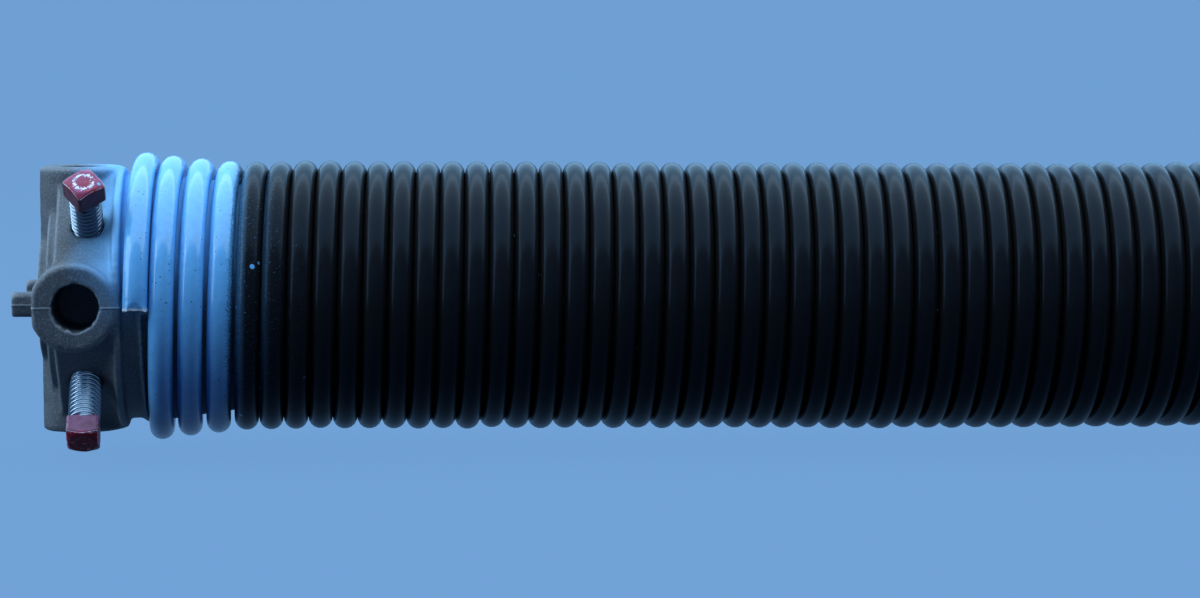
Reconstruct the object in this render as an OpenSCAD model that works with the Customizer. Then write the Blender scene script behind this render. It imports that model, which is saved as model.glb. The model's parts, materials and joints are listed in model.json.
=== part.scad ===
// Torsion spring for a sectional overhead door, with its winding cone, its two
// set screws and the stationary cone at its far end.
// +X runs along the spring from the winding cone's outer face (X = 0) to the
// stationary cone, +Z is up and -Y is the front. The wire is left wound.

/* [Wire] */
// Diameter of the spring wire
wire_d = 7.35; // [6:0.05:8.2]
// Inside diameter of the free coils
coil_inner_d = 66.7; // [64:0.1:72]
// Daylight between two neighbouring free coils
coil_gap = 0.09; // [0.05:0.01:0.4]
// Length of the close-wound body between the two threaded ends
body_len = 532; // [80:1:640]

/* [Threaded ends] */
// Daylight between the turns that are screwed onto a cone
thread_gap = 1.15; // [0.8:0.05:2]
// Daylight between the wire's cut end and the turn beside it
first_gap = 0.15; // [0.1:0.05:0.8]
// Growth of the coil radius at the very end of the wire
end_flare = 3.4; // [2:0.1:4.5]
// Play between the wire and the groove that it lies in
groove_play = 0.25; // [0.15:0.05:0.5]
// Play between the end turn and the flange
end_play = 0.725; // [0.4:0.025:2]
// Length of wire below the middle of the front, at the cut end
cut_end = 0.8; // [0.4:0.1:3]

/* [Cone nose] */
// Play between the plain neck and the flared end turn
neck_play = 0.05; // [0.05:0.05:1]
// Rise of the thread crest above the free coils' inside, at its first turn
crest_start_rise = 4.65; // [3.8:0.05:5.6]
// The same rise at its last turn
crest_end_rise = 1.55; // [0.9:0.05:2.6]
// Distance along the axis from the end turn's middle to the first crest
crest_lag = 1.4; // [1:0.1:2.5]
// Play between the nose's small end and the inside of the free coils
tip_play = 0.35; // [0.15:0.05:2]
// Wall of the nose round its cored hollow
nose_wall = 7; // [5:0.5:12]
// Length of the nose from the flange
nose_len = 38; // [34:0.5:42]
// Thickness of metal between the flange face and the cored hollow
core_floor = 4.3; // [2:0.1:10]
// Bore for the door shaft
shaft_bore_d = 26.2; // [25.6:0.1:27.5]

/* [Winding head] */
// Length of the head from its outer face to the flange
head_len = 23.1; // [20:0.1:30]
// Thickness of the flange
flange_t = 2.6; // [2:0.1:6]
// Rise of the flange above the neck
flange_rise = 2.7; // [1.8:0.1:5]
// Rounding of the flange's rim
flange_rim_r = 0.8; // [0.3:0.1:1]
// Radius of the core between the bosses
hub_r = 28; // [24:0.5:31]
// Step from the outer face back to the hub between the bosses
hub_step = 3; // [0.5:0.1:4.5]
// Radius of the collar round the shaft bore
collar_r = 19; // [16:0.5:22]
// Distance from the axis to a screw pad
pad_reach = 33; // [31:0.5:35]
// Distance from the axis to the flat behind a boss face
body_reach = 37; // [35:0.5:38.5]
// Step from the outer face back to the screw pads
pad_step = 5.8; // [5:0.1:8]
// Radius of the hollow blend between the pads and the flange
flange_blend_r = 5; // [2:0.5:6]
// Outer diameter of a winding bar boss
boss_d = 26.4; // [22:0.1:28]
// Distance from the axis to a boss face
boss_reach = 39.9; // [39:0.1:44]
// Rounding of a boss rim
boss_rim_r = 1.6; // [0.5:0.1:3]
// Place of the bosses along the axis
boss_x = 12; // [11:0.1:14]
// Diameter of a winding bar socket
socket_d = 14.2; // [13:0.1:16]
// Depth of a winding bar socket
socket_depth = 22; // [15:0.5:24]
// Place of the sockets along the axis
socket_x = 12.6; // [12:0.1:14]
// How far the end lugs stand out from the outer face
lug_reach = 7; // [3:0.5:12]
// Height of an end lug
lug_h = 7.2; // [4:0.1:9]
// Depth of an end lug, front to back
lug_t = 8; // [5:0.5:9]
// Distance from the axis to the middle of an end lug
lug_offset = 23.5; // [20:0.5:23.5]
// Rounding of a lug's corners
lug_corner_r = 1.6; // [0.5:0.1:1.8]

/* [Set screws] */
// Thread diameter
screw_d = 9.525; // [8:0.1:10.5]
// Play between a screw and its hole
screw_play = 0.08; // [0.03:0.01:0.1]
// Length under the head
screw_len = 31.75; // [26:0.25:34]
// Width of the square head
head_w = 9.525; // [8:0.1:11]
// Height of the square head
head_h = 7.1; // [5:0.1:9]
// Chamfer at the screw's point
point_chamfer = 1.2; // [0.4:0.1:2]
// Diameter of the flat on the head's crown
crown_flat_d = 8.4; // [6:0.1:8.8]
// Drop of the head's crown at its corners
crown_drop = 1.1; // [0.4:0.1:2]
// How far the head's corners are rounded off
corner_cut = 0.5; // [0.1:0.05:0.8]
// Distance from the axis to the top of the upper screw's head
upper_top = 52.3; // [47.3:0.1:56]
// Distance from the axis to the top of the lower screw's head
lower_top = 56; // [50:0.1:60]
// Place of the upper screw along the axis
upper_screw_x = 15.5; // [14:0.1:16]
// Place of the lower screw along the axis
lower_screw_x = 14.3; // [14:0.1:16]
// Turn of the upper screw's head about its own axis
upper_head_turn = 36; // [0:1:90]
// Turn of the lower screw's head about its own axis
lower_head_turn = 0; // [0:1:90]

/* [Stationary cone] */
// Thickness of the bracket flange
bracket_t = 9.5; // [6:0.5:14]
// How far the bracket flange stands out past the end turn
bracket_lip = 1.5; // [0.5:0.1:3]
// Distance between the two bracket bolts
bolt_spacing = 101.6; // [98:0.1:120]
// Diameter of the bracket bolt holes
bolt_hole_d = 10.4; // [8:0.1:12]
// Radius of the ears round the bolt holes
ear_r = 9.6; // [8:0.1:12]
// Half width of an ear where it leaves the flange
ear_root = 22; // [12:0.5:28]

/* [Hidden] */
$fn = 48;

coil_inner_r = coil_inner_d / 2;
coil_r = coil_inner_r + wire_d / 2;
neck_r = coil_inner_r + end_flare - neck_play;
crest_start_r = coil_inner_r + crest_start_rise;
crest_end_r = coil_inner_r + crest_end_rise;
nose_tip_r = coil_inner_r - tip_play;
core_r = nose_tip_r - nose_wall;
flange_r = neck_r + flange_rise;
bracket_r = coil_inner_r + wire_d + end_flare + bracket_lip;
half_pitch = (wire_d + coil_gap) / 2;
// An odd count, so that both ends of the wire meet their cones the same way.
body_half_turns = 2 * floor(body_len / half_pitch / 2) + 1;
thread_half_pitch = (wire_d + thread_gap) / 2;
end_lead = wire_d + first_gap - thread_half_pitch;
thread_extra = thread_half_pitch - half_pitch;
flare_turns = 3.8;
flare_power = 1.2;
full_lead_halves = 5;
crest_halves = 6;
fade_halves = 4;
end_halves = full_lead_halves + fade_halves;

// Flange faces towards the spring, and the start of the wire beside each.
flange_x = head_len + flange_t;
seat_x = wire_d / 2 + end_play;
wire_start_x = flange_x + seat_x;
all_halves = body_half_turns + 2 * end_halves;
body_start_x = wire_start_x + end_station(end_halves);
wire_end_x = body_start_x + body_half_turns * half_pitch + end_station(end_halves);
far_flange_x = wire_end_x + seat_x;
// The far end is the near end turned half round, so the helix keeps its hand.
far_turn = 180;

joint_slit = 0.05;
joint_bulge = 0.01;

upper_angle = 45;
lower_angle = -45;
overlap = 1;
groove_d = wire_d + 2 * groove_play;

// Advance of one half turn near an end: a short first lead, the cone's full
// pitch, then a fade to the free coils' pitch.
function half_lead(h) =
    h == 0 ? end_lead
    : half_pitch + hundredths(thread_extra * max(0, min(1, 1 - (h - full_lead_halves) / fade_halves)));
function end_station(h) = h == 0 ? 0 : end_station(h - 1) + half_lead(h - 1);
function hundredths(v) = round(100 * v) / 100;
// Mean coil radius, h half turns from an end.
function flared_r(h) = coil_r + hundredths(end_flare * pow(max(0, 1 - h / 2 / flare_turns), flare_power));
// Place along the axis and mean radius after h half turns of the whole wire.
function station_x(h) =
    h <= end_halves ? wire_start_x + end_station(h)
    : h <= all_halves - end_halves ? body_start_x + (h - end_halves) * half_pitch
    : wire_end_x - end_station(all_halves - h);
function station_r(h) = flared_r(min(h, all_halves - h));

// One half turn of wire of diameter d from (x0, -r0) at the front to (x1, r1)
// at the back, over the top. Both its ends point straight up, so turns join
// smoothly whatever the pitch and the flare. A positive tail lengthens it at an
// end, and a negative one shortens it.
module over_top(x0, r0, x1, r1, d, tail0, tail1) {
    dx = x1 - x0;
    dy = r1 + r0;
    arc_r = sqrt(dx * dx + dy * dy) / 2;
    degrees_per_mm = 180 / PI / arc_r;
    translate([(x0 + x1) / 2, (r1 - r0) / 2, 0])
        rotate([0, 0, atan2(dy, dx)]) rotate([90, 0, 0]) rotate([0, 0, -tail1 * degrees_per_mm])
            rotate_extrude(angle = 180 + (tail0 + tail1) * degrees_per_mm)
                translate([arc_r, 0]) circle(d = d);
}

// Half turn number h: over the top, or back under the bottom.
module half_turn(h, x0, r0, x1, r1, d, tail0, tail1) {
    rotate([h % 2 * 180, 0, 0]) over_top(x0, r0, x1, r1, d, tail0, tail1);
}

// Where two half turns meet. A ball a hair wider than the wire closes the slit
// that is left between them.
module joint_ball(h, x, r, d) {
    translate([x, (h % 2 * 2 - 1) * r, 0]) sphere(r = d / 2 + joint_bulge);
}

module torsion_spring() {
    color("#26282b") {
        for (h = [0 : all_halves - 1])
            half_turn(h, station_x(h), station_r(h), station_x(h + 1), station_r(h + 1), wire_d,
                      h == 0 ? cut_end : -joint_slit, h == all_halves - 1 ? cut_end : -joint_slit);
        for (h = [1 : all_halves - 1]) joint_ball(h, station_x(h), station_r(h), wire_d);
    }
}

// Cuts half turns 0 to h of the groove that an end of the wire lies in into the
// children, one after another, with the wire's end at X = 0.
module grooved(h) {
    difference() {
        if (h > 0) grooved(h - 1) children();
        else children();
        half_turn(h, end_station(h), flared_r(h), end_station(h + 1), flared_r(h + 1), groove_d,
                  h == 0 ? cut_end + groove_play : -joint_slit, -joint_slit);
        if (h > 0) joint_ball(h, end_station(h), flared_r(h), groove_d);
    }
}

module along_x() { rotate([90, 0, 90]) children(); }
module outward(angle) { rotate([90 - angle, 0, 0]) children(); }

// Threaded nose that fills the end of the spring, with the flange face at X = 0.
module nose() {
    crest_x = seat_x + crest_lag;
    last_crest_x = seat_x + end_station(crest_halves) + crest_lag;
    difference() {
        translate([seat_x, 0, 0]) grooved(end_halves - 1) translate([-seat_x, 0, 0])
            rotate([0, 90, 0]) rotate_extrude()
                polygon([[0, -overlap], [neck_r, -overlap], [neck_r, seat_x],
                         [crest_start_r, crest_x], [crest_end_r, last_crest_x],
                         [nose_tip_r, nose_len], [0, nose_len]]);
        translate([core_floor, 0, 0]) along_x() cylinder(r = core_r, h = nose_len);
    }
}

module flange() {
    rotate([0, 90, 0]) rotate_extrude() {
        square([flange_r - flange_rim_r, flange_t]);
        translate([0, flange_rim_r]) square([flange_r, flange_t - 2 * flange_rim_r]);
        for (x = [flange_rim_r, flange_t - flange_rim_r])
            translate([flange_r - flange_rim_r, x]) circle(r = flange_rim_r);
    }
}

// Concave blend that rises from the screw pads to the flange.
module flange_blend() {
    rotate([0, 90, 0]) rotate_extrude() difference() {
        translate([hub_r / 2, -flange_blend_r])
            square([pad_reach + flange_blend_r - hub_r / 2, flange_blend_r + flange_t / 2]);
        translate([pad_reach + flange_blend_r, -flange_blend_r]) circle(r = flange_blend_r);
    }
}

module boss() {
    rotate_extrude() {
        square([boss_d / 2 - boss_rim_r, boss_reach]);
        square([boss_d / 2, boss_reach - boss_rim_r]);
        translate([boss_d / 2 - boss_rim_r, boss_reach - boss_rim_r]) circle(r = boss_rim_r);
    }
}

// Eight-sided block between the bosses: its flats at 45 degrees carry the screws.
module pad_block() {
    translate([pad_step, 0, 0]) along_x() linear_extrude(height = head_len - pad_step + overlap)
        intersection() {
            rotate(45) square(2 * pad_reach, center = true);
            square(2 * body_reach, center = true);
        }
}

module end_lug() {
    translate([-lug_reach, 0, 0]) along_x() linear_extrude(height = lug_reach + hub_step + overlap) {
        square([lug_t - 2 * lug_corner_r, lug_h], center = true);
        square([lug_t, lug_h - 2 * lug_corner_r], center = true);
        for (y = [-1, 1], z = [-1, 1])
            translate([y * (lug_t / 2 - lug_corner_r), z * (lug_h / 2 - lug_corner_r)])
                circle(r = lug_corner_r);
    }
}

module head() {
    translate([hub_step, 0, 0]) along_x() cylinder(r = hub_r, h = head_len - hub_step + overlap);
    along_x() cylinder(r = collar_r, h = head_len);
    pad_block();
    translate([head_len, 0, 0]) flange();
    translate([head_len, 0, 0]) flange_blend();
    intersection() {
        translate([boss_x, 0, 0]) for (a = [0 : 90 : 270]) outward(a) boss();
        translate([0, -boss_reach - overlap, -boss_reach - overlap])
            cube([flange_x, 2 * (boss_reach + overlap), 2 * (boss_reach + overlap)]);
    }
    for (y = [-lug_offset, lug_offset]) translate([0, y, 0]) end_lug();
}

module screw_hole(x, angle) {
    translate([x, 0, 0]) outward(angle) cylinder(d = screw_d + 2 * screw_play, h = boss_reach);
}

module winding_cone() {
    color("#55575a") difference() {
        union() {
            head();
            translate([flange_x, 0, 0]) nose();
        }
        translate([-overlap, 0, 0]) along_x() cylinder(d = shaft_bore_d, h = flange_x + nose_len);
        for (a = [0 : 90 : 270])
            translate([socket_x, 0, 0]) outward(a) translate([0, 0, boss_reach - socket_depth])
                cylinder(d = socket_d, h = socket_depth + overlap);
        screw_hole(upper_screw_x, upper_angle);
        screw_hole(lower_screw_x, lower_angle);
    }
}

// Square-headed screw, with the top of its head at Z = 0 and its point below.
module set_screw(head_turn) {
    corner_r = head_w / sqrt(2) - corner_cut;
    rotate(head_turn) intersection() {
        translate([-head_w / 2, -head_w / 2, -head_h]) cube([head_w, head_w, head_h]);
        translate([0, 0, -head_h]) rotate_extrude()
            polygon([[0, 0], [corner_r, 0], [corner_r, head_h - crown_drop],
                     [crown_flat_d / 2, head_h], [0, head_h]]);
    }
    translate([0, 0, -head_h - screw_len]) rotate_extrude()
        polygon([[0, 0], [screw_d / 2 - point_chamfer, 0], [screw_d / 2, point_chamfer],
                 [screw_d / 2, screw_len + overlap], [0, screw_len + overlap]]);
}

module set_screw_upper() {
    color("#8d2a2e") translate([upper_screw_x, 0, 0]) outward(upper_angle)
        translate([0, 0, upper_top]) set_screw(upper_head_turn);
}

module set_screw_lower() {
    color("#8d2a2e") translate([lower_screw_x, 0, 0]) outward(lower_angle)
        translate([0, 0, lower_top]) set_screw(lower_head_turn);
}

// Round flange with two ears that bolt to the anchor bracket.
module bracket_flange() {
    along_x() linear_extrude(height = bracket_t) difference() {
        union() {
            circle(r = bracket_r);
            for (s = [-1, 1]) {
                translate([s * bolt_spacing / 2, 0]) circle(r = ear_r);
                polygon([[0, -ear_root], [s * bolt_spacing / 2, -ear_r],
                         [s * bolt_spacing / 2, ear_r], [0, ear_root]]);
            }
        }
        for (s = [-1, 1]) translate([s * bolt_spacing / 2, 0]) circle(d = bolt_hole_d);
    }
}

module stationary_cone() {
    color("#55575a") difference() {
        translate([far_flange_x, 0, 0]) {
            bracket_flange();
            rotate([0, 0, far_turn]) nose();
        }
        translate([far_flange_x - nose_len, 0, 0]) along_x()
            cylinder(d = shaft_bore_d, h = nose_len + bracket_t + overlap);
    }
}

torsion_spring();
winding_cone();
set_screw_upper();
set_screw_lower();
stationary_cone();
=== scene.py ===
"""A left-wound overhead door torsion spring with its cast cones and set screws.

Everything is in metres, in the frame's own axes: +X along the spring from the
winding cone, +Z up, -Y to the front."""
import json
import math

import bmesh
import bpy
from mathutils import Matrix, Vector, noise


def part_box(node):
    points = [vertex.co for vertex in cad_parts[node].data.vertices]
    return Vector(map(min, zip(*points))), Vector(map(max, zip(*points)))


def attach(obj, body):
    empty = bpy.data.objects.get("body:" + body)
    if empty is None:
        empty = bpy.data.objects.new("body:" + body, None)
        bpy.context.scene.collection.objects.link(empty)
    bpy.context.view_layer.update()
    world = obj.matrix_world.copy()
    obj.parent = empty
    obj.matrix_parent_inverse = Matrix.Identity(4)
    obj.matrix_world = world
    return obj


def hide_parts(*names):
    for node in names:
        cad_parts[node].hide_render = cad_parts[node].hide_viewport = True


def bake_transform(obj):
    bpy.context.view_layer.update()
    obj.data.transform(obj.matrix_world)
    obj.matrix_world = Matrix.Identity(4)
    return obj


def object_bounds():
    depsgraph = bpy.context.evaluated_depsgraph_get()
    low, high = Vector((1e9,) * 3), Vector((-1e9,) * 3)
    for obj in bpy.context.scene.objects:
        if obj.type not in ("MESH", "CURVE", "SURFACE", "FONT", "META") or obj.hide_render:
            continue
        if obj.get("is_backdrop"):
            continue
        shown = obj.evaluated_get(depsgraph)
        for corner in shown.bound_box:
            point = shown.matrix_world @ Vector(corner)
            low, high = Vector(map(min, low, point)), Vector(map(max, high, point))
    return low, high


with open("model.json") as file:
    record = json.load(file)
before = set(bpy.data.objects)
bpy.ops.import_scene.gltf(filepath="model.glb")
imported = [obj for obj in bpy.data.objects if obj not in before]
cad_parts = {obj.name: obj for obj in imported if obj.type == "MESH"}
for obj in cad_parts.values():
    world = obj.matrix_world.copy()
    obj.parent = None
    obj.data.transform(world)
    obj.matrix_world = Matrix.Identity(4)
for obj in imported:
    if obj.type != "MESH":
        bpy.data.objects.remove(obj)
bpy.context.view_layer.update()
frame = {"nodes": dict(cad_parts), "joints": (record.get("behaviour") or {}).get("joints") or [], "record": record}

MM = 0.001

# ---------------------------------------------------------------- sizes

# Spring wire, wound as the frame's spring is. R is a radius.
WIRE_R = 3.71 * MM
COIL_R = 37.025 * MM
TURNS = 80.5
# At both ends the turns widen onto the cone.
END_FLARE = 3.4 * MM
FLARE_TURNS = 3.8
FLARE_POWER = 1.2
# The first half turns open out to the cone's pitch, the very first one less so.
OPEN_HALVES = 7.5
CONE_HALF_PITCH = 4.25 * MM
FIRST_HALF_PITCH = 3.25 * MM
# Wire that runs on past the last full half turn, to its cut end.
CUT_TAIL = 0.8 * MM
# Sag of the long spring between its two cones, and the small unevenness of its turns.
SAG = 2.0 * MM
UNEVEN = 0.22 * MM
UNEVEN_SEED = 3.0
RINGS_PER_TURN = 64
SIDES = 18

# The sheared ends of the wire.
SHEARED_LENGTH = 4 * MM
FACET_LENGTH = 3.4 * MM
FACET_SLOPE = math.radians(13)
RAGGED_DEPTH = 1.8 * MM
# Depth of the near-white rim mark: bare steel, with a painted highlight.
BURR_GLINT_DEPTH = 1.1 * MM

# Set screws: 3/8 in, 16 threads to the inch.
THREAD_PITCH = 25.4 * MM / 16
THREAD_DEPTH = 0.80 * MM
THREAD_SIDES = 49
THREAD_RINGS = 250
POINT_CHAMFER = 1.2 * MM
SHANK_IN_HEAD = 0.5 * MM
SCREW_R = 4.7625 * MM
HEAD_W = 9.525 * MM
HEAD_H = 7.1 * MM
HEAD_CUTS = 26
HEAD_EDGE_R = 0.75 * MM
CROWN_FLAT_R = 4.19 * MM
CROWN_DROP = 1.1 * MM
CORNER_R = 6.2 * MM
# The ring that a wrench scraped on a crown, and where that crown has a speck of blue.
SCRAPE_R = 2.7 * MM
SPECK_SPOT = (3.2 * MM, -3.2 * MM, 0)

# Winding bar socket in the front boss.
SOCKET_X = 12.6 * MM
SOCKET_R = 7.1 * MM
BOSS_FRONT_Y = -38 * MM
# Relief on the winding cone: the parting line on its head, and the flash.
HEAD_END_X = 27 * MM
LINE_HEIGHT = 0.28 * MM
LINE_WIDTH = 0.45 * MM
FLASH_HEIGHT = 0.30 * MM
# The hollow that leads into its thread, between two angles in degrees down from the front.
HOLLOW_FROM, HOLLOW_TO = 3, 95
HOLLOW_R = 34.5 * MM
HOLLOW_END_X = 35 * MM
HOLLOW_DEPTH = 2.6 * MM

# The colour code paint stops here, on the flank of the fourth turn. One large droplet
# of it fell on the front of the first black turn.
LIGHT_BLUE = "#74bdf4"
PAINT_END_X = 57.6 * MM
LARGE_DROPLET = (64.5 * MM, -38.9 * MM, 11.9 * MM)

# Cool daylight, and bluer skylight.
DAYLIGHT = (0.58, 0.81, 1.0)
SKYLIGHT = (0.36, 0.68, 1.0)
# The floor and what lies beyond it, as they show.
PALE = "#6f9fd3"

# Sockets of a mix node. It has a set for colours and another for plain numbers.
FACTOR, BASE, OVER, MIXED = 0, 6, 7, 2
FLOAT_A, FLOAT_B = 2, 3


# ---------------------------------------------------------------- small helpers

def linear(code):
    """A linear colour from an sRGB hex code."""
    parts = [int(code[i:i + 2], 16) / 255 for i in (1, 3, 5)]
    parts = [c / 12.92 if c <= 0.04045 else ((c + 0.055) / 1.055) ** 2.4 for c in parts]
    return (*parts, 1.0)


def add(tree, kind, inputs=(), **settings):
    """Adds a node with its settings. An input takes a value, a socket, or a node, which
    stands for its first output."""
    node = tree.nodes.new(kind)
    for name, value in settings.items():
        setattr(node, name, value)
    pairs = inputs.items() if isinstance(inputs, dict) else enumerate(inputs)
    for key, value in pairs:
        if isinstance(value, bpy.types.Node):
            value = value.outputs[0]
        if isinstance(value, bpy.types.NodeSocket):
            tree.links.new(value, node.inputs[key])
        else:
            node.inputs[key].default_value = value
    return node


def link_object(name, data):
    obj = bpy.data.objects.new(name, data)
    bpy.context.scene.collection.objects.link(obj)
    return obj


def apply_modifiers(obj):
    """Makes the object's mesh what its modifiers make of it."""
    graph = bpy.context.evaluated_depsgraph_get()
    mesh = bpy.data.meshes.new_from_object(obj.evaluated_get(graph), depsgraph=graph)
    obj.modifiers.clear()
    obj.data = mesh
    return mesh


def grown(name, tree, values):
    """A plain mesh object grown by a node tree whose named inputs take the given values."""
    obj = link_object(name, bpy.data.meshes.new(name))
    modifier = obj.modifiers.new("grow", "NODES")
    modifier.node_group = tree
    for item in tree.interface.items_tree:
        if item.item_type == "SOCKET" and item.in_out == "INPUT":
            modifier[item.identifier] = values[item.name]
    apply_modifiers(obj).name = name
    return obj


def new_tree(name, inputs):
    """A geometry node tree with the named inputs and one geometry output."""
    tree = bpy.data.node_groups.new(name, "GeometryNodeTree")
    for label, kind in inputs.items():
        tree.interface.new_socket(label, in_out="INPUT", socket_type="NodeSocket" + kind)
    tree.interface.new_socket("Geometry", in_out="OUTPUT", socket_type="NodeSocketGeometry")
    return tree


def new_material(name, **settings):
    """A material and its shader, with the constant settings put on the shader's own sockets."""
    material = bpy.data.materials.new(name)
    material.use_nodes = True
    shader = material.node_tree.nodes["Principled BSDF"]
    for key, value in settings.items():
        shader.inputs[key.replace("_", " ")].default_value = value
    return material, material.node_tree, shader


def seen_rays(tree):
    """1 on the rays that show the surroundings: to the camera, in gloss and through glass."""
    ray = add(tree, "ShaderNodeLightPath")
    shown = add(tree, "ShaderNodeMath",
                [ray.outputs["Is Camera Ray"], ray.outputs["Is Glossy Ray"]],
                operation="MAXIMUM")
    shown = add(tree, "ShaderNodeMath", [shown, ray.outputs["Is Transmission Ray"]],
                operation="MAXIMUM")
    return shown


# ---------------------------------------------------------------- materials

def spring_paint():
    """Oil-tempered wire in thin glossy black, its winding end sprayed light blue: a smooth
    skin that mirrors the light in long streaks, with pits, droplets and a dusted edge."""
    material, tree, shader = new_material("glossy black coated wire, light blue colour code",
                                          IOR=1.18, Specular_Tint=(0.42, 0.66, 1.0, 1.0),
                                          Coat_IOR=1.5, Coat_Roughness=0.12)
    place = add(tree, "ShaderNodeTexCoord")
    spot = place.outputs["Object"]
    xyz = add(tree, "ShaderNodeSeparateXYZ", [spot])
    facing = add(tree, "ShaderNodeSeparateXYZ", [place.outputs["Normal"]])
    # Spray grain of about 0.4 mm and drifts of about 5 mm.
    grain = add(tree, "ShaderNodeTexNoise", {"Vector": spot, "Scale": 2400, "Detail": 3})
    drift = add(tree, "ShaderNodeTexNoise", {"Vector": spot, "Scale": 210, "Detail": 2})
    # The edge follows the turn, which leans as it climbs.
    edge = add(tree, "ShaderNodeMath", [xyz.outputs["Z"], -0.045, xyz.outputs["X"]],
               operation="MULTIPLY_ADD")
    edge = add(tree, "ShaderNodeMath", [drift, 1.2 * MM, edge], operation="MULTIPLY_ADD")
    edge = add(tree, "ShaderNodeMath", [grain, 5.5 * MM, edge], operation="MULTIPLY_ADD")
    blue = add(tree, "ShaderNodeMapRange",
               [edge, PAINT_END_X + 2.2 * MM, PAINT_END_X + 4.6 * MM, 1, 0])
    # Overspray lies only on flanks that face the painted end.
    toward = add(tree, "ShaderNodeMath", [facing.outputs["X"], -1], operation="MULTIPLY")
    dusted = add(tree, "ShaderNodeMapRange", [toward, 0.15, 0.95, 0, 1])
    reach = add(tree, "ShaderNodeMapRange",
                [xyz.outputs["X"], PAINT_END_X, PAINT_END_X + 14 * MM, 0.75, 0])
    dusted = add(tree, "ShaderNodeMath", [dusted, reach], operation="MULTIPLY")
    dusted = add(tree, "ShaderNodeMath", [dusted, grain], operation="MULTIPLY")
    # Stray droplets, from specks to a millimetre and a half, and fine dry dust.
    cells = add(tree, "ShaderNodeTexVoronoi", {"Vector": spot, "Scale": 150})
    size = add(tree, "ShaderNodeSeparateColor", [cells.outputs["Color"]])
    size = add(tree, "ShaderNodeMapRange", [size, 0.3, 1, 0.01, 0.11])
    near = add(tree, "ShaderNodeMath", [size, cells.outputs["Distance"]], operation="SUBTRACT")
    near = add(tree, "ShaderNodeMapRange", [near, 0, 0.012, 0, 1])
    dust = add(tree, "ShaderNodeMapRange", [grain, 0.66, 0.74, 0, 0.6])
    near = add(tree, "ShaderNodeMath", [near, dust], operation="MAXIMUM")
    strays = add(tree, "ShaderNodeMapRange",
                 [xyz.outputs["X"], PAINT_END_X + 3 * MM, PAINT_END_X + 26 * MM, 1, 0])
    drops = add(tree, "ShaderNodeMath", [near, strays], operation="MULTIPLY")
    large = add(tree, "ShaderNodeVectorMath", [spot, LARGE_DROPLET], operation="DISTANCE")
    large = add(tree, "ShaderNodeMapRange", [large.outputs["Value"], 0.85 * MM, 0.7 * MM, 0, 1])
    drops = add(tree, "ShaderNodeMath", [drops, large], operation="MAXIMUM")
    blue = add(tree, "ShaderNodeMath", [blue, dusted], operation="MAXIMUM")
    blue = add(tree, "ShaderNodeMath", [blue, drops], operation="MAXIMUM")
    # Pinholes of about 0.4 mm in some stretches of the blue.
    holes = add(tree, "ShaderNodeTexVoronoi", {"Vector": spot, "Scale": 560})
    holes = add(tree, "ShaderNodeMapRange", [holes.outputs["Distance"], 0.16, 0.1, 0, 1])
    stretch = add(tree, "ShaderNodeMapRange", [drift, 0.47, 0.6, 0, 1])
    pits = add(tree, "ShaderNodeMath", [holes, stretch], operation="MULTIPLY")
    mottle = add(tree, "ShaderNodeTexNoise", {"Vector": spot, "Scale": 420, "Detail": 4})
    light_blue = add(tree, "ShaderNodeMix",
                     {FACTOR: mottle, BASE: linear("#55a0e2"), OVER: linear(LIGHT_BLUE)},
                     data_type="RGBA")
    light_blue = add(tree, "ShaderNodeMix",
                     {FACTOR: pits, BASE: light_blue.outputs[MIXED], OVER: linear("#2b4f80")},
                     data_type="RGBA")
    # Near white at the cut rim: bare steel and chipped paint, partly a painted highlight.
    burr_and_glint = add(tree, "ShaderNodeAttribute", attribute_name="burr_and_glint")
    light_blue = add(tree, "ShaderNodeMix",
                     {FACTOR: burr_and_glint.outputs["Fac"], BASE: light_blue.outputs[MIXED],
                      OVER: linear("#f4faff")}, data_type="RGBA")
    black = add(tree, "ShaderNodeMix",
                {FACTOR: mottle, BASE: linear("#131314"), OVER: linear("#19191b")},
                data_type="RGBA")
    scuffs = add(tree, "ShaderNodeTexNoise",
                 {"Vector": spot, "Scale": 330, "Detail": 8, "Roughness": 0.8})
    scuffs = add(tree, "ShaderNodeMapRange", [scuffs, 0.72, 0.78, 0, 0.5])
    black = add(tree, "ShaderNodeMix",
                {FACTOR: scuffs, BASE: black.outputs[MIXED], OVER: linear("#56626e")},
                data_type="RGBA")
    colour = add(tree, "ShaderNodeMix",
                 {FACTOR: blue, BASE: black.outputs[MIXED], OVER: light_blue.outputs[MIXED]},
                 data_type="RGBA")
    tree.links.new(colour.outputs[MIXED], shader.inputs["Base Color"])
    tree.links.new(blue.outputs[0], shader.inputs["Coat Weight"])
    rough = add(tree, "ShaderNodeMapRange", [blue, 0, 1, 0.16, 0.4])
    rough = add(tree, "ShaderNodeMath", [mottle, 0.12, rough], operation="MULTIPLY_ADD")
    tree.links.new(rough.outputs[0], shader.inputs["Roughness"])
    # Orange peel of about 0.7 mm and the sunk pinholes.
    peel = add(tree, "ShaderNodeTexNoise", {"Vector": spot, "Scale": 1400, "Detail": 1})
    skin = add(tree, "ShaderNodeMath", [peel, 0.35, mottle], operation="MULTIPLY_ADD")
    skin = add(tree, "ShaderNodeMath", [pits, -1.2, skin], operation="MULTIPLY_ADD")
    bump = add(tree, "ShaderNodeBump",
               {"Strength": 0.35, "Distance": 0.06 * MM, "Height": skin})
    tree.links.new(bump.outputs[0], shader.inputs["Normal"])
    return material


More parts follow.
